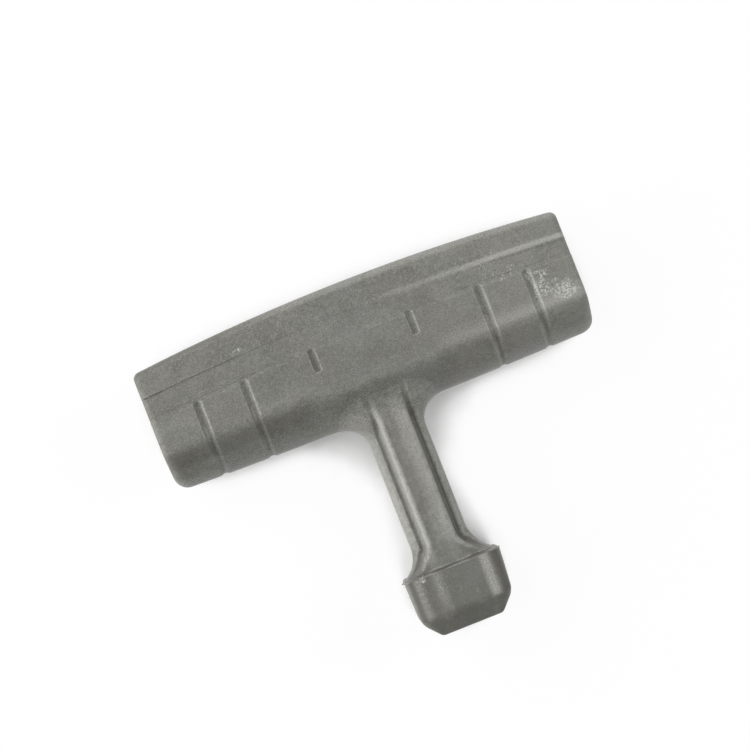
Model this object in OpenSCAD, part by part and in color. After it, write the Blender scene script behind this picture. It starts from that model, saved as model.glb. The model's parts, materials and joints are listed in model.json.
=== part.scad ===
// Recoil starter handle: a moulded T-grip with finger pads, a ribbed stem and a square end boss.
// Frame: X along the grip bar, +Y from the boss to the palm face, Z through the thickness.
// The handle lies on its back on Z = 0, with the origin in the middle of its length and height.

/* [Grip bar] */
// Height of the whole handle, from the crown of the palm face to the end of the boss
handle_height = 85.6; // [76:0.1:100]
// Length of the bar
bar_length = 105; // [98:0.5:125]
// Height of the bar, from the crown of the palm face to the underside at the stem
bar_height = 32.6; // [27:0.1:38]
// Thickness of the bar over its finger pads
bar_thickness = 21; // [18:0.5:25]
// Drop of the palm face from its middle to the ends
palm_drop = 2.8; // [1:0.1:5]
// Drop of the palm face from its centre line to its long edges
palm_crown = 0.5; // [0.1:0.1:1.2]
// Radius of the long edges of the palm face
palm_edge_radius = 2; // [1:0.1:3]
// Rise of the underside from the stem to the ends
underside_rise = 0.7; // [0:0.1:2]
// Height of the rounded underside, from where it leaves the pads down to its bottom
underside_height = 8.8; // [7.5:0.1:11.5]
// Flattening of the underside's round corners, as a share of the bar's half thickness
underside_flat = 0.13; // [0:0.01:0.18]
// Rounding of the rim of each end face
end_rim_radius = 1.5; // [0.6:0.1:2.4]
// Rounding of the lower corner at each end
end_corner_radius = 3.3; // [1.5:0.1:5]

/* [Bands and finger pads] */
// Height of the raised band along the palm face, at the middle
band_height = 6.4; // [4:0.1:8]
// Drop of the lower edge of the band from the middle to the ends
band_bow = 2.8; // [0.5:0.1:3.5]
// Step below the band at the middle of the bar
band_step_middle = 0.1; // [0.05:0.05:0.5]
// Step below the band at the ends
band_step_ends = 0.3; // [0.1:0.05:0.6]
// Distance from the palm crown down to the tops of the pads, at the middle
pad_top = 12; // [10:0.1:14.5]
// Drop of the tops of the pads from the middle to the ends
pad_bow = 1.6; // [0.5:0.1:2.5]
// How far the pads stand out of the band above them
pad_raise = 0.3; // [0.1:0.05:0.6]
// Distance of the inner two grooves from the middle
inner_groove_x = 29.2; // [22:0.1:35]
// Distance of the outer two grooves from the middle
outer_groove_x = 40.9; // [38:0.1:46]
// Width of the grooves between the pads
groove_width = 2.2; // [1.8:0.1:3.6]
// Depth of the grooves in the front and back of the pads
groove_depth = 0.65; // [0.3:0.05:1.2]
// Depth of the grooves at the bottom of the underside
groove_underside_depth = 0.35; // [0.1:0.05:0.8]
// Distance of the short grooves from the middle
short_groove_x = 12.1; // [8:0.1:16]
// Width of the short grooves
short_groove_width = 2.1; // [1.4:0.1:3]
// Length of the short grooves, from the tops of the pads down
short_groove_length = 6; // [3:0.1:8]
// Depth of the short grooves
short_groove_depth = 0.7; // [0.3:0.05:1]

/* [Stem] */
// Width of the stem over its side flanges
stem_width = 13.9; // [11.5:0.1:17]
// Thickness of the stem over its front and back panels
stem_thickness = 14; // [11.6:0.1:17]
// Width of the panel down the middle of the stem
panel_width = 7.7; // [6:0.1:9.2]
// Hollow along the middle of the panel
panel_dish = 0.4; // [0:0.05:0.5]
// Rounding of the panel's long edges
panel_edge_radius = 0.8; // [0.4:0.1:1.2]
// Thickness of the stem in the valleys beside the panel
valley_thickness = 7.6; // [7:0.1:10.4]
// Thickness of the side flanges
flange_thickness = 9; // [7.4:0.1:10.8]
// Radius of the stem's sides where they run into the bar
root_radius = 7; // [3:0.1:9]
// Radius of the stem's front and back where they run into the bar
face_root_radius = 3; // [1.5:0.1:4]

/* [Boss] */
// Height of the boss, from the mould line to its end
boss_height = 14.8; // [11:0.1:18]
// Width of the boss at the mould line
boss_width = 23.5; // [19:0.1:28]
// Thickness of the boss at the mould line
boss_thickness = 20.4; // [17:0.1:24]
// Radius of the upright corners of the boss
boss_corner_radius = 3.8; // [2:0.1:5]
// Height of the flare between the stem and the boss
flare_height = 7.4; // [4:0.1:9]
// How much each side of the boss leans in over its height
boss_draft = 0.75; // [0:0.05:1.5]
// Height of the chamfer at the end of the boss
chamfer_height = 4.2; // [2:0.1:6]
// Run of the chamfer, measured inwards
chamfer_run = 3.6; // [2:0.1:4.4]
// Rounding of the boss's end edges
boss_edge_radius = 0.5; // [0.2:0.1:1]
// Height of the lip along the mould line
lip_height = 0.4; // [0.2:0.1:1]
// How far the lip stands out
lip_reach = 0.2; // [0.1:0.05:0.5]

/* [Rope passage] */
// Diameter of the bore for the rope
rope_bore_d = 4.5; // [3:0.1:5.4]
// Diameter of the pocket for the rope's knot
knot_pocket_d = 11; // [8:0.1:13]
// Depth of the knot pocket below the palm crown
knot_pocket_depth = 13; // [8:0.5:16]
// Chamfer at the rope bore's mouth in the boss
rope_mouth_chamfer = 0.8; // [0.2:0.1:1.2]

/* [Hidden] */
$fn = 64;

half_length = bar_length / 2;
half_thickness = bar_thickness / 2;
crown_y = handle_height / 2;
boss_end_y = -handle_height / 2;
underside_y = crown_y - bar_height;
round_y = underside_y + underside_height;
mould_line_y = boss_end_y + boss_height;
flare_top_y = mould_line_y + flare_height;
root_y = underside_y - root_radius;
rest_z = max(bar_thickness, boss_thickness) / 2;
past = 1;

// Length of the sloping wall below the band, at the middle and at the ends
band_wall = [0.3, 0.9];
// Length of the sloping wall at the tops of the pads
pad_wall = 0.4;
// Share of half a groove's width that its flat floor takes
groove_floor = 0.3;
// Places across a groove where the bar is given a section, as shares of half its width
groove_stations = [-1, -0.75, -0.52, -groove_floor, groove_floor, 0.52, 0.75, 1];
// Widest distance between two sections of the bar
bar_station = 7.5;
// Angles from the flat side of a rounding to its end
rounding_angles = [0, 22.5, 45, 67.5, 90];
underside_angle = 9;
// Closest that two sections of a loft may lie
closest = 0.05;

// Roundings and lists

// How far a rounding of radius r has cut in at distance d from the end of a piece
function rounding(d, r) = d >= r ? 0 : r - sqrt(r * r - pow(r - d, 2));
function clamped(v, low, high) = min(max(v, low), high);
function smooth(t) = t * t * (3 - 2 * t);

function sorted(list) =
    len(list) < 2 ? list :
    let (
        pivot = list[floor(len(list) / 2)],
        below = [for (v = list) if (v < pivot) v],
        same = [for (v = list) if (v == pivot) v],
        above = [for (v = list) if (v > pivot) v]
    )
    concat(sorted(below), same, sorted(above));

// The sorted list without values that follow closer than the closest spacing
function spaced(list, kept = [], i = 0) =
    i == len(list) ? kept :
    len(kept) > 0 && list[i] - kept[len(kept) - 1] < closest ? spaced(list, kept, i + 1) :
    spaced(list, concat(kept, [list[i]]), i + 1);

// A closed skin through rings of points that all have the same count, capped at both ends
module loft(rings) {
    sides = len(rings[0]);
    last = len(rings) - 1;
    first_cap = len(rings) * sides;
    all_points = concat(
        [for (ring = rings) each ring],
        [mean(rings[0]), mean(rings[last])]
    );
    skin = [
        for (i = [0 : last - 1], j = [0 : sides - 1])
        let (a = i * sides + j, b = i * sides + (j + 1) % sides)
        each [[a, b + sides, b], [a, a + sides, b + sides]]
    ];
    first = [for (j = [0 : sides - 1]) [first_cap, j, (j + 1) % sides]];
    end = [
        for (j = [0 : sides - 1])
        [first_cap + 1, last * sides + (j + 1) % sides, last * sides + j]
    ];
    polyhedron(all_points, concat(skin, first, end));
}

function mean(ring) = [for (axis = [0 : 2]) sum([for (p = ring) p[axis]]) / len(ring)];
function sum(list, i = 0) = i == len(list) ? 0 : list[i] + sum(list, i + 1);

// Grip bar

groove_places = [-outer_groove_x, -inner_groove_x, inner_groove_x, outer_groove_x];

// Depth of the grooves at x, as a share of their full depth
function groove_share(x) =
    max([
        for (g = groove_places)
        let (reach = abs(x - g) / (groove_width / 2))
        smooth(clamped((1 - reach) / (1 - groove_floor), 0, 1))
    ]);

// Half thickness of the underside at angle a round it, as a share of the pad's
function underside_share(a) = cos(a) - underside_flat * pow(max(sin(2 * a), 0), 1.5);

// Half of the bar's section at x, from the palm face round the front to the underside, as [Y, Z]
function half_bar_section(x) =
    let (
        end_distance = half_length - abs(x),
        rim = rounding(end_distance, end_rim_radius),
        corner = rounding(end_distance, end_corner_radius),
        outward = pow(x / half_length, 2),
        groove = groove_share(x),
        band_step = band_step_middle + (band_step_ends - band_step_middle) * outward,
        middle_z = half_thickness - max(pad_raise, band_step_middle, band_step_ends) - rim,
        band_z = middle_z + band_step,
        pad_z = middle_z + pad_raise - (pad_raise + groove_depth) * groove,
        palm_y = crown_y - palm_drop * outward - rim,
        edge_r = max(palm_edge_radius - rim, 0.1),
        edge_y = palm_y - palm_crown - edge_r,
        edge_z = band_z - edge_r,
        band_y = crown_y - band_height - band_bow * outward,
        wall = band_wall[0] + (band_wall[1] - band_wall[0]) * outward,
        pad_y = crown_y - pad_top - pad_bow * outward,
        low_y = underside_y + underside_rise * outward + corner + groove_underside_depth * groove
    )
    concat(
        [for (s = [0, 0.4, 0.75, 1]) [palm_y - palm_crown * s * s, edge_z * s]],
        [for (a = [22.5, 45, 67.5, 90]) [edge_y + edge_r * cos(a), edge_z + edge_r * sin(a)]],
        [[band_y, band_z], [band_y - wall, middle_z], [pad_y, middle_z], [pad_y - pad_wall, pad_z]],
        [
            for (a = [0 : underside_angle : 90])
            [round_y - (round_y - low_y) * sin(a), pad_z * underside_share(a)]
        ]
    );

function bar_ring(x) =
    let (half = half_bar_section(x), last = len(half) - 1)
    concat(
        [for (p = half) [x, p[0], p[1]]],
        [for (i = [last - 1 : -1 : 1]) [x, half[i][0], -half[i][1]]]
    );

// Places along the bar where it is given a section
end_stations = [
    for (r = [end_rim_radius, end_corner_radius], a = rounding_angles)
    half_length - r * (1 - sin(a))
];
even_count = ceil(bar_length / bar_station);
bar_stations = spaced(sorted(concat(
    [for (i = [1 : even_count - 1]) bar_length * (i / even_count - 0.5)],
    end_stations,
    [for (x = end_stations) -x],
    [for (g = groove_places, s = groove_stations) g + s * groove_width / 2]
)));

module bar() {
    loft([for (x = bar_stations) bar_ring(x)]);
}

// The short grooves that open into the middle pad from its top edge, front and back
module short_grooves() {
    half_width = short_groove_width / 2;
    radius = (pow(half_width, 2) + pow(short_groove_depth, 2)) / (2 * short_groove_depth);
    top_y = crown_y - pad_top;
    for (side = [-1, 1], face = [-1, 1])
        translate([
            side * short_groove_x,
            top_y - short_groove_length,
            face * (half_thickness - short_groove_depth + radius)
        ])
            rotate([-90, 0, 0]) cylinder(h = short_groove_length, r = radius);
}

// Stem, flare and boss

half_stem = stem_width / 2;
half_panel = panel_width / 2;
// Middle of the valley, between the panel and the outside of the flange
valley_x = half_panel + (half_stem - half_panel) * 0.28;
flange_x = half_panel + (half_stem - half_panel) * 0.5;
half_boss = boss_width / 2;
flare_rise = half_boss - half_stem;
flare_radius = (pow(flare_height, 2) + pow(flare_rise, 2)) / (2 * flare_rise);

// Half thickness at y of a face that lies at half thickness z along the stem, filleted into the bar
function faired(y, z) =
    let (
        r = face_root_radius,
        round_r = half_thickness * (1 - 0.75 * underside_flat),
        squash = underside_height / half_thickness,
        away = sqrt(max(pow(round_r + r, 2) - pow(z + r, 2), 1)) * squash,
        reach = 1.02 * r * away / (round_r + r),
        along = clamped(y - (round_y - away), 0, min(reach, 0.98 * r))
    )
    z + r - sqrt(r * r - along * along);

// Half width at y of the stem's sides, filleted into the bar
function root_half_width(y) =
    let (along = clamped(y - root_y, 0, 0.975 * root_radius))
    half_stem + root_radius - sqrt(root_radius * root_radius - along * along);

// A quarter of the stem's section at y, from the middle of the panel to the side, as [X, Z]
function stem_quarter(y) =
    let (
        panel_z = faired(y, stem_thickness / 2),
        valley_z = faired(y, valley_thickness / 2),
        flange_z = faired(y, flange_thickness / 2),
        side_x = root_half_width(y),
        r = panel_edge_radius
    )
    concat(
        [
            [0, panel_z - panel_dish],
            [half_panel * 0.5, panel_z - panel_dish * 0.6],
            [half_panel - r, panel_z],
            [half_panel - r * (1 - sin(45)), panel_z - r * (1 - cos(45))],
            [half_panel, panel_z - r],
            [valley_x, valley_z],
            [flange_x, flange_z]
        ],
        [
            for (a = [25, 48, 66, 80, 90])
            [flange_x + (side_x - flange_x) * sin(a), flange_z * cos(a)]
        ]
    );

// A quarter of the boss's section, moved in by inset, with a point for each point of the stem's
function boss_quarter(inset) =
    let (
        side_x = half_boss - inset,
        face_z = boss_thickness / 2 - inset,
        r = max(boss_corner_radius - 0.6 * max(inset, 0), 0.8),
        flat_x = side_x - r,
        flat_z = face_z - r
    )
    concat(
        [for (s = [0, 0.4, 0.72, 0.82, 0.92]) [flat_x * s, face_z]],
        [for (a = [4, 22, 40, 58, 74, 90]) [flat_x + r * sin(a), flat_z + r * cos(a)]],
        [[side_x, 0]]
    );

// The full ring at y round a quarter section
function ring_of(quarter, y) =
    let (last = len(quarter) - 1)
    concat(
        [for (p = quarter) [p[0], y, p[1]]],
        [for (i = [last - 1 : -1 : 0]) [quarter[i][0], y, -quarter[i][1]]],
        [for (i = [1 : last]) [-quarter[i][0], y, -quarter[i][1]]],
        [for (i = [last - 1 : -1 : 1]) [-quarter[i][0], y, quarter[i][1]]]
    );

// How much of the way from the stem's section to the boss's the flare has come at y
function flare_share(y) =
    let (down = clamped(flare_top_y - y, 0, flare_height))
    (flare_radius - sqrt(pow(flare_radius, 2) - down * down)) / flare_rise;

function flare_ring(y) =
    let (share = flare_share(y), stem = stem_quarter(y), boss = boss_quarter(0))
    ring_of(stem * (1 - share) + boss * share, y);

// The boss's outline as [height above its end, inset], with the draft added to the inset
chamfer_slope = chamfer_run / chamfer_height;
boss_outline = [
    [0, chamfer_run + 0.6 * boss_edge_radius],
    [0.3 * boss_edge_radius, chamfer_run],
    [boss_edge_radius, chamfer_run - 0.7 * boss_edge_radius * chamfer_slope],
    [chamfer_height - boss_edge_radius, boss_edge_radius * chamfer_slope],
    [chamfer_height, 0.25 * boss_edge_radius],
    [chamfer_height + boss_edge_radius, 0],
    [boss_height - 2 * lip_height, 0],
    [boss_height - lip_height, -lip_reach],
    [boss_height - 0.4 * lip_height, -lip_reach]
];
boss_rings = [
    for (p = boss_outline)
    ring_of(boss_quarter(p[1] + boss_draft * (1 - p[0] / boss_height)), boss_end_y + p[0])
];
flare_rings = [
    for (s = [1, 0.9, 0.78, 0.65, 0.5, 0.34, 0.17])
    flare_ring(flare_top_y - s * flare_height)
];

// Places where the stem is given a section, from the flare into the middle of the bar's round
root_stations = spaced(sorted(concat(
    [flare_top_y, (flare_top_y + root_y) / 2, root_y],
    [for (s = [0.3, 0.52, 0.7, 0.84, 0.93, 0.975]) root_y + s * root_radius],
    [for (s = [0.03, 0.08, 0.13, 0.19, 0.25, 0.32]) underside_y + s * half_thickness],
    [underside_y + 0.8 * half_thickness]
)));
root_rings = [for (y = root_stations) ring_of(stem_quarter(y), y)];

module stem_and_boss() {
    loft(concat(boss_rings, flare_rings, root_rings));
}

// Rope passage

module rope_passage() {
    translate([0, boss_end_y - past, 0])
        rotate([-90, 0, 0]) cylinder(h = handle_height - knot_pocket_depth + 2 * past, d = rope_bore_d);
    translate([0, crown_y - knot_pocket_depth, 0])
        rotate([-90, 0, 0]) cylinder(h = knot_pocket_depth + past, d = knot_pocket_d);
    mouth_r = rope_bore_d / 2 + rope_mouth_chamfer;
    translate([0, boss_end_y - past, 0])
        rotate([-90, 0, 0])
            cylinder(h = rope_mouth_chamfer + past, r1 = mouth_r + past, r2 = rope_bore_d / 2);
}

module handle() {
    color("#84847e")
    translate([0, 0, rest_z])
    difference() {
        union() {
            bar();
            stem_and_boss();
        }
        short_grooves();
        rope_passage();
    }
}

handle();
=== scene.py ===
"""Looks of the recoil starter handle: one moulded piece of gray rubber on a plain white table.

The piece is one skin drawn round a solid that the functions below describe: each gives the distance
of points from a form in millimetres, negative inside, with z measured from the handle's middle plane.
"""

import json
import math

import bpy
import numpy as np
from mathutils import Matrix, Vector


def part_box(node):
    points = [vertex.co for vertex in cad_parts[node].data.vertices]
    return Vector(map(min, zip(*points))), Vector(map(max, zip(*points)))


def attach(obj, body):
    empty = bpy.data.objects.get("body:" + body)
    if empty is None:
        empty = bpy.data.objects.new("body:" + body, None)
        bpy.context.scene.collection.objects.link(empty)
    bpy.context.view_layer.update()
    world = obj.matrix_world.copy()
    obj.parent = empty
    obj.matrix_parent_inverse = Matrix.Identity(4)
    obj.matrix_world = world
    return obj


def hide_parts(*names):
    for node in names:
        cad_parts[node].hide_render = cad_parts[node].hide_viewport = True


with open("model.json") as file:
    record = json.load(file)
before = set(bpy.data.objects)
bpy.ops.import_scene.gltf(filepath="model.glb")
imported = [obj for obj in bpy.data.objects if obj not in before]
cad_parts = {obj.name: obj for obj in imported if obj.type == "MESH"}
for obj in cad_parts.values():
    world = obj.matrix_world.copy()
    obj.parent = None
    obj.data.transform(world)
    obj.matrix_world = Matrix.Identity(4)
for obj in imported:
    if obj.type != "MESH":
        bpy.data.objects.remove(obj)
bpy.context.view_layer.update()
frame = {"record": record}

MM = 0.001

# Sizes of the handle, in millimetres

LOW, HIGH = (np.array(corner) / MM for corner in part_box("handle"))
HALF_LENGTH = (HIGH[0] - LOW[0]) / 2
HALF_THICKNESS = (HIGH[2] - LOW[2]) / 2
BOSS_END_Y = LOW[1]
CROWN_Y = -LOW[1]
MIDDLE_Z = (HIGH[2] + LOW[2]) / 2

BAR_HEIGHT = 32.6
UNDERSIDE_Y = CROWN_Y - BAR_HEIGHT
ROUND_Y = UNDERSIDE_Y + 8.8
ROUND_RISE = 2.2
PALM_DROP = 2.8
UNDERSIDE_RISE = 0.7
PALM_CROWN = 0.5
PALM_EDGE_R = 2.0
UNDERSIDE_FLAT = 0.13
RIM_R = 1.5
CORNER_R = 3.3

BAND_Y = CROWN_Y - 7.1
BAND_SAG = 0.5
PAD_Y = CROWN_Y - 12.1
PAD_SAG = 0.9
BAND_STEP_MIDDLE = 0.1
BAND_STEP_ENDS = 0.3
PAD_RAISE = 0.3
GROOVES_X = (29.2, 40.9)
GROOVE_HALF_WIDTH = 1.2
GROOVE_DEPTH = 0.5
GROOVE_UNDERSIDE_DEPTH = 0.35
GROOVE_FLOOR = 0.12
SHORT_GROOVE_X = 12.1
SHORT_GROOVE_HALF_WIDTH = 1.05
SHORT_GROOVE_LENGTH = 6.0
SHORT_GROOVE_DEPTH = 0.7

HALF_STEM = 6.95
PANEL_HALF_WIDTH = 3.75
PANEL_OFFSET = 0.2
PANEL_Z = 7.0
PANEL_DISH = 0.4
PANEL_EDGE_R = 1.3
PANEL_FOOT_R = 1.1
FLANGE_Z = 4.5
FLANGE_X = 5.5
VALLEY_DEPTH = 0.6
VALLEY_RUN = 1.0
ROOT_R = 7.0
FACE_ROOT_R = 3.6

BOSS_HEIGHT = 14.8
FLARE_HEIGHT = 7.4
MOULD_Y = BOSS_END_Y + BOSS_HEIGHT
FLARE_TOP_Y = MOULD_Y + FLARE_HEIGHT
HALF_BOSS = 11.75
BOSS_Z = 10.2
BOSS_CORNER_R = 3.8
BOSS_DRAFT = 0.75
LEAN = 0.35
FLARE_LEDGE = 0.08
CHAMFER_HEIGHT = 4.2
CHAMFER_RUN = 3.6
FLARE_RISE = HALF_BOSS - HALF_STEM
FLARE_R = (FLARE_HEIGHT**2 + FLARE_RISE**2) / (2 * FLARE_RISE)

MOUNTS = {m["name"]: m for m in frame["record"]["mounts"]}
BORE_R = MOUNTS["rope_bore"]["dims"]["r_mm"]
POCKET_R = MOUNTS["knot_pocket"]["dims"]["r_mm"]
POCKET_FLOOR_Y = CROWN_Y - 13.0

# Forms


def ramp(t):
    """0 below 0, 1 above 1, and smooth between."""
    t = np.clip(t, 0.0, 1.0)
    return t * t * (3 - 2 * t)


def both(a, b, r):
    """What lies in both forms, with the edge between them rounded to radius r."""
    outside = np.hypot(np.maximum(a + r, 0), np.maximum(b + r, 0))
    return np.minimum(np.maximum(a, b), -r) + outside


def either(a, b, r):
    """What lies in one form or the other, with a fillet of radius r between them."""
    inside = np.hypot(np.maximum(r - a, 0), np.maximum(r - b, 0))
    return np.maximum(np.minimum(a, b), r) - inside


def unbowed(x, y):
    """The height that y would have at the middle of the bar, whose long lines all bow a little."""
    outward = (x / HALF_LENGTH) ** 2
    slope = (PALM_DROP + UNDERSIDE_RISE) / BAR_HEIGHT
    over = y - UNDERSIDE_Y - outward * UNDERSIDE_RISE
    return UNDERSIDE_Y + np.where(over > 0, over / (1 - outward * slope), over)


def bowed(x, v):
    """The height at x of the long line that passes the middle of the bar at height v."""
    outward = (x / HALF_LENGTH) ** 2
    slope = (PALM_DROP + UNDERSIDE_RISE) / BAR_HEIGHT
    over = v - UNDERSIDE_Y
    over = np.where(over > 0, over * (1 - outward * slope), over)
    return UNDERSIDE_Y + outward * UNDERSIDE_RISE + over


def channel(x, middle, half_width, floor):
    """The share of its full depth that a groove round the bar has at x."""
    reach = np.abs(np.abs(x) - middle) / half_width
    return ramp((1 - reach) / (1 - floor))


def over_band(x, v):
    """The height above the foot of the palm band, which sags right of the middle."""
    outward = (x / HALF_LENGTH) ** 2
    return v - BAND_Y + BAND_SAG * (1 - outward) * ramp((x + 5) / 25)


def face_level(x, v, groove):
    """Half thickness of the bar at its front and back: bands, finger pads and grooves."""
    outward = (x / HALF_LENGTH) ** 2
    band_wall = 0.45 + np.where(x > 0, 1.5, 0.1) * outward
    band_step = BAND_STEP_MIDDLE + (BAND_STEP_ENDS - BAND_STEP_MIDDLE) * outward
    below_band = over_band(x, v)
    band = band_step * ramp(below_band / band_wall + 1)
    band = band + 0.11 * ramp((x - 5) / 35) * ramp(1 - np.abs(below_band - 0.2) / 1.6)
    pad_y = PAD_Y - PAD_SAG * ramp((-x - 5) / 30)
    pads = ramp((pad_y - v) / 0.9)
    crease = 0.10 * ramp(1 - np.abs(v - pad_y - 0.1) / 0.45) * ramp((np.abs(x) - 15) / 10)
    short = channel(x, SHORT_GROOVE_X, SHORT_GROOVE_HALF_WIDTH, 0.2)
    short = short * pads * ramp((v - PAD_Y + SHORT_GROOVE_LENGTH) / 0.3)
    level = HALF_THICKNESS - PAD_RAISE + band - crease
    deep = ramp((pad_y + 0.3 - v) / 1.8)
    return level + PAD_RAISE * pads * (1 - groove) - GROOVE_DEPTH * deep * groove - SHORT_GROOVE_DEPTH * short


def bar(x, y, z):
    v = unbowed(x, y)
    groove = channel(x, GROOVES_X[0], GROOVE_HALF_WIDTH, GROOVE_FLOOR)
    groove = groove + channel(x, GROOVES_X[1], GROOVE_HALF_WIDTH, GROOVE_FLOOR)
    level = face_level(x, v, groove)
    round_y = ROUND_Y + ROUND_RISE * ramp((-x - 8) / 12)
    depth = round_y - UNDERSIDE_Y - GROOVE_UNDERSIDE_DEPTH * groove
    below = np.maximum(round_y - v, 0) / depth * level
    away = np.hypot(z, below) + 1e-9
    corner = np.clip(2 * below * np.abs(z) / away**2, 0, 1)
    section = away - level * (1 - UNDERSIDE_FLAT * corner**1.5 * np.abs(z) / away)
    palm = v - CROWN_Y + PALM_CROWN * (z / HALF_THICKNESS) ** 2
    end_r = RIM_R + (CORNER_R - RIM_R) * ramp((ROUND_Y - v) / HALF_THICKNESS + 0.3)
    return both(both(section, palm, PALM_EDGE_R), np.abs(x) - HALF_LENGTH, end_r)


def flare_share(y):
    """0 on the stem, growing along an arc to 1 at the boss."""
    down = np.clip(FLARE_TOP_Y - y, 0, FLARE_HEIGHT)
    return (FLARE_R - np.sqrt(FLARE_R**2 - down**2)) / FLARE_RISE


def valley_at(share):
    """How far from the middle the valley between panel and flange runs as it spreads to the boss's corner."""
    return 4.9 + 5.75 * share**0.875


def mould_line(x, y, z):
    """How far the boss stands out round the mould line: a lip, and an uneven crack above it."""
    rough = 0.5 + 0.28 * np.sin(0.9 * x + 0.5 * z + 0.6) + 0.22 * np.sin(2.3 * x - 1.1 * z + 2.0)
    below = y - MOULD_Y - 0.15
    lip = 0.07 * np.exp(-(((below + 0.35) / 0.3) ** 2)) * (0.6 + 0.5 * rough)
    crack = 0.5 * np.exp(-((below / 0.2) ** 2)) * (0.35 + 0.9 * rough)
    lump = 0.30 * np.exp(-(((x + 8.0) / 0.8) ** 2) - ((below - 0.5) / 0.5) ** 2)
    notch = 0.30 * np.exp(-(((x - 6.5) / 1.1) ** 2) - ((below - 0.15) / 0.25) ** 2)
    front = ramp(z / 4.0)
    return lip - crack + front * (lump - notch)


def spurs(x, y, z):
    """Thin fins of rubber that were squeezed out at both ends of the mould line."""
    out = np.abs(x) - HALF_BOSS
    thick = 0.24 * np.clip(1 - out / 0.8, 0.05, 1)
    off_line = np.abs(y - MOULD_Y + 0.55)
    fin = np.maximum(off_line - thick, np.abs(z + 0.6) - 2.2 * np.clip(1 - out / 0.8, 0.1, 1))
    return np.maximum(np.maximum(fin, out - 0.75), -out - 0.8)


def stem_and_boss(x, y, z):
    """The stem's flanges and its panels, each running out into the boss, and the boss's share at y."""
    lean = LEAN * ramp((FLARE_TOP_Y - y) / 5.5) * (1 - 0.9 * ramp((MOULD_Y - y) / 14))
    x = x - lean
    relief = mould_line(x, y, z)
    fins = spurs(x, y, z)
    aside = np.abs(x - PANEL_OFFSET)
    x, z = np.abs(x), np.abs(z)
    crest = FLANGE_Z - VALLEY_DEPTH * ramp((FLANGE_X - aside) / VALLEY_RUN)
    panel_z = PANEL_Z - PANEL_DISH * (1 - ramp(aside / PANEL_HALF_WIDTH))
    flanges = both(x - HALF_STEM, z - crest, 2.4)
    panels = both(aside - PANEL_HALF_WIDTH, z - panel_z, PANEL_EDGE_R)

    draft = BOSS_DRAFT * np.maximum(MOULD_Y - y, 0) / BOSS_HEIGHT
    boss = both(x - HALF_BOSS, z - BOSS_Z, BOSS_CORNER_R) + draft - relief
    share = flare_share(y) * (1 - FLARE_LEDGE * ramp((y - MOULD_Y) / 0.25))
    dent = 0.45 * np.exp(-(((x - valley_at(share)) / 0.7) ** 2))
    dent = dent - 0.2 * np.exp(-(((x - valley_at(share) + 1.7) / 0.8) ** 2))
    dent = dent * ramp((FLARE_TOP_Y - 1.0 - y) / 2.5) * ramp((y - MOULD_Y) / 0.6)
    slant = CHAMFER_RUN / CHAMFER_HEIGHT
    chamfer = (boss + CHAMFER_RUN - slant * (y - BOSS_END_Y)) / math.hypot(1, slant)
    bodies = []
    for section, top_y in ((flanges, UNDERSIDE_Y + 3.0), (panels, UNDERSIDE_Y + 5.0)):
        section = section + (boss - section) * share + dent
        body = both(both(section, chamfer, 0.9), BOSS_END_Y - y, 0.5)
        bodies.append(both(body, y - top_y, 1.0))
    return *bodies, fins, share


def handle(x, y, z):
    flanges, panels, fins, share = stem_and_boss(x, y, z)
    grip = bar(x, y, z)
    web = either(grip, flanges, ROOT_R * (1 - share) + 0.02)
    rib = either(grip, panels, FACE_ROOT_R * (1 - share) + 0.02)
    solid = either(web, rib, PANEL_FOOT_R * ramp((UNDERSIDE_Y - 1.0 - y) / 4.0) * (1 - share) + 0.02)
    solid = np.minimum(solid, fins)
    off_axis = np.hypot(x, z)
    pocket = np.maximum(off_axis - POCKET_R, POCKET_FLOOR_Y - y)
    solid = both(solid, -pocket, 0.4)
    return both(solid, BORE_R - off_axis, 0.8)


# Skin


def spread(low, high, fine, coarse, lines):
    """Places from low to high that lie close together near the given lines."""
    places = [low]
    while places[-1] < high:
        nearest = min(max(abs(places[-1] - at) - reach, 0) for at, reach in lines)
        places.append(places[-1] + min(fine + 0.22 * nearest, coarse))
    return np.array(places)


def slope_of(form, points):
    """The gradient of a form at the points."""
    step = 0.01
    out = np.empty_like(points)
    for axis in range(3):
        ahead, behind = points.copy(), points.copy()
        ahead[:, axis] += step
        behind[:, axis] -= step
        out[:, axis] = (form(*ahead.T) - form(*behind.T)) / (2 * step)
    return out


def turn_of(form, points):
    """How sharply the form turns at the points, per millimetre: above 0 at ridges, below 0 in corners."""
    step = 0.25
    total = -6 * form(*points.T)
    for axis in range(3):
        for side in (-step, step):
            near = points.copy()
            near[:, axis] += side
            total += form(*near.T)
    return total / step**2


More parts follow.
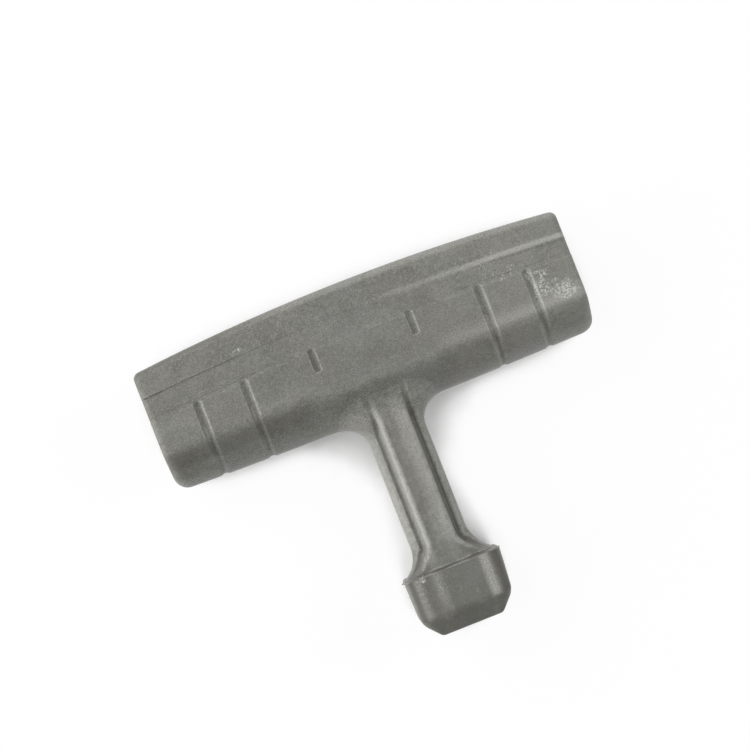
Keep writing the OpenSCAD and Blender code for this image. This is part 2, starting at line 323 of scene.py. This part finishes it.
def skin(form, xs, vs, zs):
    """Points and four-sided faces of the form's surface, on a grid whose rows follow the bow."""
    x, v, z = np.meshgrid(xs, vs, zs, indexing="ij")
    grid = np.stack([x, bowed(x, v), z], axis=-1)
    value = form(grid[..., 0], grid[..., 1], grid[..., 2])
    solid = value < 0

    cells = tuple(n - 1 for n in value.shape)
    corners = [(a, b, c) for a in (0, 1) for b in (0, 1) for c in (0, 1)]
    part = [solid[a : a + cells[0], b : b + cells[1], c : c + cells[2]] for a, b, c in corners]
    count = sum(p.astype(np.int8) for p in part)
    at = np.argwhere((count > 0) & (count < 8))
    number = np.full(cells, -1)
    number[tuple(at.T)] = np.arange(len(at))

    total = np.zeros((len(at), 3))
    crossings = np.zeros(len(at))
    for i, first in enumerate(corners):
        for second in corners[i + 1 :]:
            if sum(abs(p - q) for p, q in zip(first, second)) != 1:
                continue
            p, q = tuple((at + first).T), tuple((at + second).T)
            share = value[p] / np.where(value[p] == value[q], 1, value[p] - value[q])
            crossed = solid[p] != solid[q]
            total += np.where(crossed[:, None], grid[p] + share[:, None] * (grid[q] - grid[p]), 0)
            crossings += crossed
    points = total / crossings[:, None]

    for _ in range(4):
        slope = slope_of(form, points)
        move = form(*points.T)[:, None] * slope / np.maximum((slope**2).sum(1), 0.1)[:, None]
        points = points - np.clip(move, -0.15, 0.15)

    faces = []
    for axis in range(3):
        others = [a for a in range(3) if a != axis]
        low = [slice(None)] * 3
        high = [slice(None)] * 3
        low[axis], high[axis] = slice(0, -1), slice(1, None)
        for a in others:
            low[a] = high[a] = slice(1, -1)
        first, second = solid[tuple(low)], solid[tuple(high)]
        edge = np.argwhere(first != second)
        leaving = first[tuple(edge.T)]
        for a in others:
            edge[:, a] += 1
        ring = []
        for p, q in ((1, 1), (0, 1), (0, 0), (1, 0)):
            cell = edge.copy()
            cell[:, others[0]] -= p
            cell[:, others[1]] -= q
            ring.append(number[tuple(cell.T)])
        ring = np.stack(ring, axis=1)
        turned = ~leaving if axis != 1 else leaving
        faces.append(np.where(turned[:, None], ring[:, ::-1], ring))
    return points, np.concatenate(faces)


def piece_of(name, points, faces, normals):
    mesh = bpy.data.meshes.new(name)
    mesh.from_pydata(points.tolist(), [], faces.tolist())
    mesh.polygons.foreach_set("use_smooth", np.ones(len(faces), bool))
    mesh.normals_split_custom_set_from_vertices(normals.tolist())
    mesh.update()
    obj = bpy.data.objects.new(name, mesh)
    bpy.context.scene.collection.objects.link(obj)
    return obj


def painted_light_share(x, y, z):
    """How pale the front is painted where highlights and reflections fall, below 0 where it is painted dark for shade,
    with some dirt in the mould line's crack.
    """
    v = unbowed(x, y)
    # Painted highlights and reflections of the lamps and the white table: the band's step, the palm edge, the foot of
    # the pads, the underside rim, the left end pad, the boss's streaks and corner, and the stem's ridge, flanges and
    # panel.
    right = ramp((x - 4.0) / 40.0)
    below_band = over_band(x, v)
    edge = (0.35 + 0.85 * right) * ramp(x / 10) * ramp((below_band + 0.8) / 0.5) * ramp((1.1 - below_band) / 0.6)
    palm = 0.6 * ramp((v - CROWN_Y + 2.1) / 0.5) * ramp((x + 34) / 26)
    foot = (0.14 + 0.56 * right) * ramp((v - ROUND_Y) / 0.9) * ramp((ROUND_Y + 4.5 - v) / 3.0)
    foot = foot * ramp((np.abs(x) - 14) / 4)
    rim = 0.42 * ramp((UNDERSIDE_Y + 3.4 - v) / 2.2) * ramp((np.abs(x) - 12) / 5)
    end_pad = 0.22 * ramp((-x - 41.5) / 2) * ramp((v - ROUND_Y - 3.0) / 4) * ramp((PAD_Y - 1.5 - v) / 1.0)
    boss = ramp((MOULD_Y - y) / 0.5) * ramp((y - BOSS_END_Y - CHAMFER_HEIGHT) / 0.8)
    streak = 1.1 * boss * ramp(1.3 - np.abs(x - 7.7) / 1.4)
    patch = 0.6 * boss * ramp(1 - np.abs(x + 4.1) / 2.0) * ramp((y + 40) / 7)
    ripple = 1 + 0.5 * np.sin(6.3 * y) * ramp((y + 36.5) / 1.5)
    corner = 0.45 * boss * ramp(1.3 - np.abs(x + 8.6) / 1.0) * ripple
    stem = ramp((UNDERSIDE_Y + 4.0 - y) / 3.0) * ramp((y - FLARE_TOP_Y + 3.0) / 3.0)
    ridge = 0.72 * stem * ramp(1.4 - np.abs(x + 3.45) / 0.8)
    flange = np.where(x < 0, 0.42, 0.3) * stem * ramp((np.abs(x) - 5.3) / 0.5)
    panel = 0.34 * stem * ramp((x + 0.5) / 3.0) * ramp((3.9 - x) / 0.3)
    painted_highlights = np.maximum.reduce([edge, palm, foot, rim, end_pad, streak, patch, corner, ridge, flange, panel])
    # Painted highlights in the grooves: on their floors and feet, and on their right lips.
    for middle in (s * g for g in GROOVES_X for s in (-1, 1)):
        floor = ramp(1 - np.abs(x - middle + 0.35) / 0.5) * ramp((v - ROUND_Y + 0.3) / 0.8)
        floor = 0.8 * floor * ramp((ROUND_Y + 4.6 - v) / 1.2)
        foot = 0.45 * ramp(1 - np.abs(x - middle + 0.8) / 1.3) * ramp((ROUND_Y - 2.5 - v) / 1.5)
        lip = 0.35 * ramp(1.2 - np.abs(x - middle - 1.1) / 0.5) * ramp((v - ROUND_Y - 1.5) / 1.5) * ramp((PAD_Y - 1.0 - v) / 0.8)
        painted_highlights = np.maximum.reduce([painted_highlights, floor, foot, lip])
    # Painted shade: the boss's side corners, the mould line's crack (with some dirt), the flare's valleys and the ledge
    # at its left, the stem's right valley, the chamfer, and the bar's underside turn and palm edge at the left. The
    # terms taken away paint highlights beside the valleys.
    dirt_and_painted_shade = boss * (0.9 * ramp(1.4 - np.abs(x + 10.2) / 0.6) + 0.85 * ramp(1.4 - np.abs(x - 10.4) / 1.0))
    # Painted shade, with some dirt, in the crack along the mould line.
    crack = np.abs(y - MOULD_Y - 0.15 - 0.06 * np.sin(1.1 * x + 1.0))
    crack_darkness = 0.7 + 0.35 * np.sin(0.8 * x - 3.6) + 0.6 * np.exp(-(((x - 6.2) / 0.9) ** 2))
    dirt_and_painted_shade = dirt_and_painted_shade + crack_darkness * ramp(1.4 - crack / 0.34)
    share = flare_share(y)
    flare = ramp(share / 0.08) * ramp((y - MOULD_Y) / 0.4)
    dirt_and_painted_shade = dirt_and_painted_shade + np.where(x < 0, 1.0, 0.4) * flare * np.exp(-(((np.abs(x) - valley_at(share)) / 0.75) ** 2))
    dirt_and_painted_shade = dirt_and_painted_shade + 0.6 * ramp((-x - 5) / 2) * ramp(1.4 - np.abs(y - MOULD_Y - 0.45) / 0.45)
    dirt_and_painted_shade = dirt_and_painted_shade - 0.4 * flare * np.exp(-(((np.abs(x) - valley_at(share) + 1.6) / 0.7) ** 2)) * ramp((0.7 - share) / 0.4)
    dirt_and_painted_shade = dirt_and_painted_shade + 0.45 * stem * ramp(1.4 - np.abs(x - 4.8) / 0.8) - 0.3 * stem * ramp(1.4 - np.abs(x + 4.9) / 0.6)
    dirt_and_painted_shade = dirt_and_painted_shade + 0.15 * ramp((BOSS_END_Y + CHAMFER_HEIGHT - y) / 1.0) * ramp(1 - np.abs(x) / 9)
    dirt_and_painted_shade = dirt_and_painted_shade + 0.4 * ramp((-x - 12) / 10) * ramp((ROUND_Y + 1 - v) / 2) * ramp((v - ROUND_Y + 5) / 2)
    dirt_and_painted_shade = dirt_and_painted_shade + 0.35 * ramp((v - CROWN_Y + 1.6) / 0.6) * ramp((-x - 12) / 20)
    return (painted_highlights - dirt_and_painted_shade) * ramp((z - MIDDLE_Z) / 3.0)


def make_handle():
    x_lines = [(s * g, 1.5) for g in GROOVES_X for s in (-1, 1)]
    x_lines += [(s * SHORT_GROOVE_X, 1.2) for s in (-1, 1)]
    x_lines += [(s * HALF_LENGTH, 1.2) for s in (-1, 1)] + [(s * (HALF_BOSS + 0.3), 0.5) for s in (-1, 1)]
    fine_x = spread(-HALF_LENGTH - 0.4, HALF_LENGTH + 0.8, 0.25, 0.58, x_lines)
    v_lines = [(CROWN_Y, 1.5), (BAND_Y - 0.3, 0.7), (PAD_Y - 0.2, 0.5), (BOSS_END_Y, 0.6)]
    v_lines += [(PAD_Y - SHORT_GROOVE_LENGTH, 0.3)]
    below = spread(BOSS_END_Y - 0.4, MOULD_Y - 1.1, 0.24, 0.6, v_lines + [(MOULD_Y - 1.4, 0.1)])
    at_line = np.arange(below[-1] + 0.1, MOULD_Y + 0.6, 0.1)
    above = spread(at_line[-1] + 0.12, CROWN_Y + 0.8, 0.24, 0.6, v_lines + [(MOULD_Y + 0.8, 0.0)])
    fine_v = np.concatenate([below, at_line, above])
    z_lines = [(s * HALF_THICKNESS, 0.5) for s in (-1, 1)]
    fine_z = spread(-HALF_THICKNESS - 0.4, HALF_THICKNESS + 0.8, 0.27, 0.5, z_lines)
    points, faces = skin(handle, fine_x, fine_v, fine_z)
    print("grid", len(fine_x), len(fine_v), len(fine_z), "faces", len(faces))
    normals = slope_of(handle, points)
    normals /= np.linalg.norm(normals, axis=1)[:, None]
    sharpness = turn_of(handle, points)
    points[:, 2] += MIDDLE_Z
    points = np.clip(points, LOW, HIGH)
    piece = piece_of("moulded_handle", points * MM, faces, normals)
    for name, values in (("edge", sharpness), ("painted_light", painted_light_share(*points.T))):
        attribute = piece.data.attributes.new(name, "FLOAT", "POINT")
        attribute.data.foreach_set("value", values)
    return piece


# Material


class Nodes:
    """Short calls for building one material's node tree."""

    def __init__(self, name):
        self.material = bpy.data.materials.new(name)
        self.material.use_nodes = True
        self.tree = self.material.node_tree
        self.tree.nodes.clear()
        self.place = self.add("ShaderNodeTexCoord").outputs["Object"]
        self.ragged = None

    def add(self, kind, **values):
        node = self.tree.nodes.new(kind)
        for key, value in values.items():
            if key in node.inputs:
                self.feed(node.inputs[key], value)
            else:
                setattr(node, key, value)
        return node

    def feed(self, socket, value):
        if hasattr(value, "links") and hasattr(value, "is_output"):
            self.tree.links.new(value, socket)
        else:
            socket.default_value = value

    def noise(self, at, scale, detail, roughness):
        node = self.add("ShaderNodeTexNoise", Vector=at, Scale=scale, Detail=detail, Roughness=roughness)
        return node.outputs["Fac"]

    def math(self, operation, *values):
        node = self.add("ShaderNodeMath", operation=operation)
        for socket, value in zip(node.inputs, values):
            self.feed(socket, value)
        return node.outputs["Value"]

    def span(self, value, low, high, to_low=0.0, to_high=1.0):
        """value from low to high, as a share from to_low to to_high."""
        node = self.add("ShaderNodeMapRange", interpolation_type="SMOOTHSTEP", Value=value)
        for name, number in (("From Min", low), ("From Max", high), ("To Min", to_low), ("To Max", to_high)):
            node.inputs[name].default_value = number
        return node.outputs["Result"]

    def mix(self, share, below, above):
        node = self.add("ShaderNodeMixRGB", Fac=share)
        for name, colour in (("Color1", below), ("Color2", above)):
            self.feed(node.inputs[name], (*colour, 1.0) if isinstance(colour, tuple) else colour)
        return node.outputs["Color"]

    def spot(self, at, radius):
        """1 at a place in millimetres, falling to 0 at the radii round it, with a ragged outline."""
        if self.ragged is None:
            stray = self.add("ShaderNodeTexNoise", Vector=self.place, Scale=420.0, Detail=3.0)
            moved = self.add("ShaderNodeVectorMath", operation="MULTIPLY_ADD")
            self.feed(moved.inputs[0], stray.outputs["Color"])
            moved.inputs[1].default_value = (0.006, 0.006, 0.006)
            self.feed(moved.inputs[2], self.place)
            self.ragged = moved.outputs["Vector"]
        at = [v + 3.0 for v in at]
        away = self.add("ShaderNodeVectorMath", operation="SUBTRACT")
        self.feed(away.inputs[0], self.ragged)
        away.inputs[1].default_value = [v * MM for v in at]
        shares = self.add("ShaderNodeVectorMath", operation="DIVIDE")
        self.feed(shares.inputs[0], away.outputs["Vector"])
        shares.inputs[1].default_value = [v * MM for v in radius]
        reach = self.add("ShaderNodeVectorMath", operation="LENGTH")
        self.feed(reach.inputs[0], shares.outputs["Vector"])
        return self.span(reach.outputs["Value"], 1.0, 0.45)


# Marks on the front: place, radii and how much of the patch they cover
SCUFFS = (
    ((43.6, 27.0, 20.5), (3.4, 2.4, 2.0), 0.10),
    ((42.2, 23.0, 20.5), (1.5, 4.2, 2.0), 0.11),
    ((48.0, 21.6, 20.5), (4.2, 2.9, 2.5), 0.12),
    ((45.0, 23.6, 20.5), (2.4, 1.8, 2.0), 0.09),
    ((36.0, 30.4, 20.5), (7.5, 1.3, 2.0), 0.04),
    ((33.0, 33.5, 20.5), (5.5, 3.2, 2.0), 0.01),
    ((-28.0, 36.0, 20.5), (0.7, 0.9, 1.5), 0.10),
    ((-3.0, -31.0, 20.5), (2.8, 3.6, 2.0), -0.02),
    ((-7.6, -28.6, 19.5), (1.3, 1.0, 2.0), 0.12),
)
DIRT = (
    ((9.6, -31.5, 18.5), (1.3, 3.0, 3.0)),
    ((8.4, -33.4, 19.5), (1.5, 0.9, 2.0)),
    ((-8.6, -29.0, 19.5), (1.0, 1.0, 2.0)),
    ((52.4, 36.0, 17.0), (0.9, 3.5, 4.5)),
    ((52.4, 20.0, 16.5), (0.9, 7.0, 4.5)),
    ((-52.4, 23.5, 17.0), (0.9, 4.5, 4.5)),
)


def rubber():
    n = Nodes("gray_rubber")
    place = n.place

    # Cloudy gray with a slight olive tint, streaked along the stem and boss by the flow in the mould, darker on the
    # boss and stem, and painted lighter towards the bar's right end
    clouds = n.noise(place, 160.0, 4.0, 0.6)
    blotches = n.noise(place, 900.0, 4.0, 0.7)
    lengthwise = n.add("ShaderNodeVectorMath", operation="MULTIPLY")
    n.feed(lengthwise.inputs[0], place)
    lengthwise.inputs[1].default_value = (1.0, 0.09, 1.0)
    streaks = n.noise(lengthwise.outputs["Vector"], 620.0, 3.0, 0.6)
    across, height = n.add("ShaderNodeSeparateXYZ", Vector=place).outputs[:2]
    streaks = n.math("MULTIPLY", n.span(streaks, 0.40, 0.75), n.span(height, 0.016, 0.006))
    shade = n.math("MULTIPLY_ADD", clouds, 0.45, n.math("MULTIPLY", blotches, 0.55))
    shade = n.math("MULTIPLY_ADD", streaks, 0.14, shade)
    shade = n.math("MULTIPLY_ADD", n.span(height, -0.016, -0.026), -0.13, shade)
    shade = n.math("MULTIPLY_ADD", n.span(height, 0.012, 0.007), -0.05, shade)
    # Painted light: the colour grows lighter towards the bar's right end, where more light falls.
    shade = n.math("MULTIPLY_ADD", n.span(across, 0.006, 0.046), 0.11, shade)
    colour = n.mix(n.span(shade, 0.32, 0.72), (0.144, 0.144, 0.125), (0.268, 0.268, 0.238))
    tint = n.noise(place, 75.0, 3.0, 0.55)
    colour = n.mix(n.span(tint, 0.50, 0.72, 0.0, 0.45), colour, (0.200, 0.206, 0.209))
    colour = n.mix(n.span(tint, 0.48, 0.30, 0.0, 0.40), colour, (0.232, 0.212, 0.190))

    # Fine speckle of filler in the rubber, light and dark
    speckle = n.noise(place, 3000.0, 3.0, 0.7)
    grain = n.span(height, 0.004, 0.013, 0.4, 1.0)
    light, dark = (n.math("MULTIPLY", n.span(speckle, *ends), 0.8) for ends in ((0.52, 0.68), (0.46, 0.32)))
    colour = n.mix(n.math("MULTIPLY", light, grain), colour, (0.36, 0.36, 0.34))
    colour = n.mix(n.math("MULTIPLY", dark, grain), colour, (0.09, 0.09, 0.08))
    grit = n.noise(place, 2300.0, 1.0, 0.5)
    colour = n.mix(n.span(grit, 0.76, 0.80), colour, (0.42, 0.42, 0.40))
    colour = n.mix(n.span(grit, 0.23, 0.20), colour, (0.07, 0.065, 0.055))

    # Convex edges made pale, partly rubbed wear and partly painted highlight; painted highlights and painted shade from
    # the skin's attribute; painted shade in the concave corners
    edge = n.add("ShaderNodeAttribute", attribute_name="edge").outputs["Fac"]
    worn_and_highlit_edges = n.math("MULTIPLY", n.span(edge, 0.15, 0.75), n.span(blotches, 0.30, 0.60))
    colour = n.mix(n.math("MULTIPLY", worn_and_highlit_edges, 0.5), colour, (0.36, 0.355, 0.33))
    painted_light = n.add("ShaderNodeAttribute", attribute_name="painted_light").outputs["Fac"]
    # Painted shade: where the attribute is below 0 the colour is darkened.
    colour = n.mix(n.span(painted_light, 0.0, -1.0, 0.0, 0.9), colour, (0.085, 0.080, 0.066))
    # Painted highlights: where the attribute is above 0 the colour is made pale, broken up by the speckle.
    painted_light = n.math("MULTIPLY", n.math("MAXIMUM", painted_light, 0.0), n.span(speckle, 0.36, 0.60, 0.4, 1.0))
    colour = n.mix(n.math("MULTIPLY", painted_light, 0.8), colour, (0.50, 0.497, 0.462))
    # Painted shade in the concave corners.
    colour = n.mix(n.math("MULTIPLY", n.span(edge, -0.2, -1.2), 0.25), colour, (0.10, 0.098, 0.085))

    # Pale scuffs on the end pad at the right, and a few on the boss
    scratched = n.noise(place, 2600.0, 3.0, 0.75)
    scuffs = None
    for at, radius, share in SCUFFS:
        patch = n.math("MULTIPLY", n.spot(at, radius), n.span(scratched, 0.58 - share, 0.68 - share))
        scuffs = patch if scuffs is None else n.math("MAXIMUM", scuffs, patch)
    colour = n.mix(n.math("MULTIPLY", scuffs, 0.9), colour, (0.56, 0.56, 0.53))

    # Reddish brown dirt on the boss and on the ends of the bar
    dirt_and_painted_shade = None
    for at, radius in DIRT:
        patch = n.spot(at, radius)
        dirt_and_painted_shade = patch if dirt_and_painted_shade is None else n.math("MAXIMUM", dirt_and_painted_shade, patch)
    dirt_and_painted_shade = n.math("MULTIPLY", dirt_and_painted_shade, n.span(n.noise(place, 1300.0, 3.0, 0.7), 0.46, 0.66))
    colour = n.mix(n.math("MULTIPLY", dirt_and_painted_shade, 0.6), colour, (0.165, 0.088, 0.055))

    shader = n.add("ShaderNodeBsdfPrincipled")
    shader.inputs["Specular IOR Level"].default_value = 0.4
    shader.inputs["Sheen Weight"].default_value = 0.2
    shader.inputs["Sheen Roughness"].default_value = 0.35
    n.feed(shader.inputs["Base Color"], colour)
    gloss = n.span(n.math("ADD", n.math("MULTIPLY", clouds, 0.5), n.math("MULTIPLY", grit, 0.5)), 0.35, 0.65, 0.46, 0.60)
    gloss = n.math("MULTIPLY_ADD", scuffs, 0.2, gloss)
    n.feed(shader.inputs["Roughness"], gloss)

    # Uneven moulded skin, pebbled grain and fine tooth
    bump = None
    for source, distance in (
        (n.noise(place, 130.0, 2.0, 0.5), 0.00012),
        (n.math("MULTIPLY", n.noise(place, 1300.0, 4.0, 0.65), grain), 0.00012),
        (n.math("MULTIPLY", speckle, grain), 0.00003),
        (n.math("MULTIPLY", scuffs, -1.0), 0.00002),
    ):
        layer = n.add("ShaderNodeBump", Distance=distance, Height=source)
        if bump is not None:
            n.feed(layer.inputs["Normal"], bump)
        bump = layer.outputs["Normal"]
    n.feed(shader.inputs["Normal"], bump)
    out = n.add("ShaderNodeOutputMaterial")
    n.feed(out.inputs["Surface"], shader.outputs["BSDF"])
    return n.material


def table_top():
    n = Nodes("white_table")
    shader = n.add("ShaderNodeBsdfDiffuse")
    shader.inputs["Color"].default_value = (0.95, 0.95, 0.95, 1)
    glow = n.add("ShaderNodeEmission")
    path = n.add("ShaderNodeLightPath")
    mirrored = n.math("MAXIMUM", path.outputs["Is Glossy Ray"], path.outputs["Is Transmission Ray"])
    mixed = n.add("ShaderNodeMixShader")
    open_air = n.add("ShaderNodeAmbientOcclusion", Distance=0.018, samples=16).outputs["AO"]
    shown = n.math("MULTIPLY", path.outputs["Is Camera Ray"], n.span(open_air, 0.49, 0.62, 0.08, 0.94))
    n.feed(mixed.inputs["Fac"], n.math("ADD", shown, mirrored))
    n.feed(mixed.inputs[1], shader.outputs["BSDF"])
    n.feed(mixed.inputs[2], glow.outputs["Emission"])
    out = n.add("ShaderNodeOutputMaterial")
    n.feed(out.inputs["Surface"], mixed.outputs["Shader"])
    return n.material


# Table, light and camera

PIXELS = 750
PHOTO_TURN = math.radians(21.5)
PIXEL_MM = 0.2352
AIM = Vector((0.15, 19.55, 10.5)) * MM
CAMERA_AT = Vector((-22.0, 5.0, 560.0)) * MM


WORLD = 0.03
LAMPS = (
    ("window", (-0.75, 0.75, 0.65), 1.2, 14.5),
    ("left", (-1.0, 0.0, 0.35), 0.6, 5.0),
    ("left_above", (-0.45, 0.0, 1.1), 0.35, 2.2),
    ("above", (0.0, -0.25, 1.15), 0.4, 1.5),
    ("right", (0.9, 0.0, 0.6), 0.6, 5.6),
)


def make_table():
    half = 3.0
    mesh = bpy.data.meshes.new("table")
    mesh.from_pydata([(-half, -half, 0), (half, -half, 0), (half, half, 0), (-half, half, 0)], [], [(0, 1, 2, 3)])
    table = bpy.data.objects.new("table", mesh)
    bpy.context.scene.collection.objects.link(table)
    table.data.materials.append(table_top())


def make_camera():
    camera = bpy.data.objects.new("camera", bpy.data.cameras.new("camera"))
    bpy.context.scene.collection.objects.link(camera)
    back = (CAMERA_AT - AIM).normalized()
    up = Vector((math.sin(PHOTO_TURN), math.cos(PHOTO_TURN), 0))
    right = up.cross(back).normalized()
    up = back.cross(right)
    camera.matrix_world = Matrix.Translation(CAMERA_AT) @ Matrix((right, up, back)).transposed().to_4x4()
    width = PIXELS * PIXEL_MM * MM
    camera.data.angle = 2 * math.atan(width / 2 / (CAMERA_AT - AIM).length)
    camera.data.clip_start = 0.01
    bpy.context.scene.camera = camera


def softbox(name, at, target, size, power):
    light = bpy.data.lights.new(name, "AREA")
    light.shape = "RECTANGLE"
    light.size, light.size_y = size
    light.energy = power
    lamp = bpy.data.objects.new(name, light)
    bpy.context.scene.collection.objects.link(lamp)
    lamp.location = at
    lamp.rotation_euler = (Vector(target) - Vector(at)).to_track_quat("-Z", "Y").to_euler()


def make_light():
    world = bpy.data.worlds.new("studio")
    world.use_nodes = True
    sky = world.node_tree.nodes["Background"]
    sky.inputs["Color"].default_value = (1, 1, 1, 1)
    sky.inputs["Strength"].default_value = WORLD
    bpy.context.scene.world = world
    for name, at, size, power in LAMPS:
        softbox(name, at, (0, 0, 0), (size, size), power)


grip = make_handle()
grip.data.materials.append(rubber())
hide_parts("handle")
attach(grip, "root")

make_table()
make_light()
make_camera()
bpy.context.scene.view_settings.view_transform = "Standard"
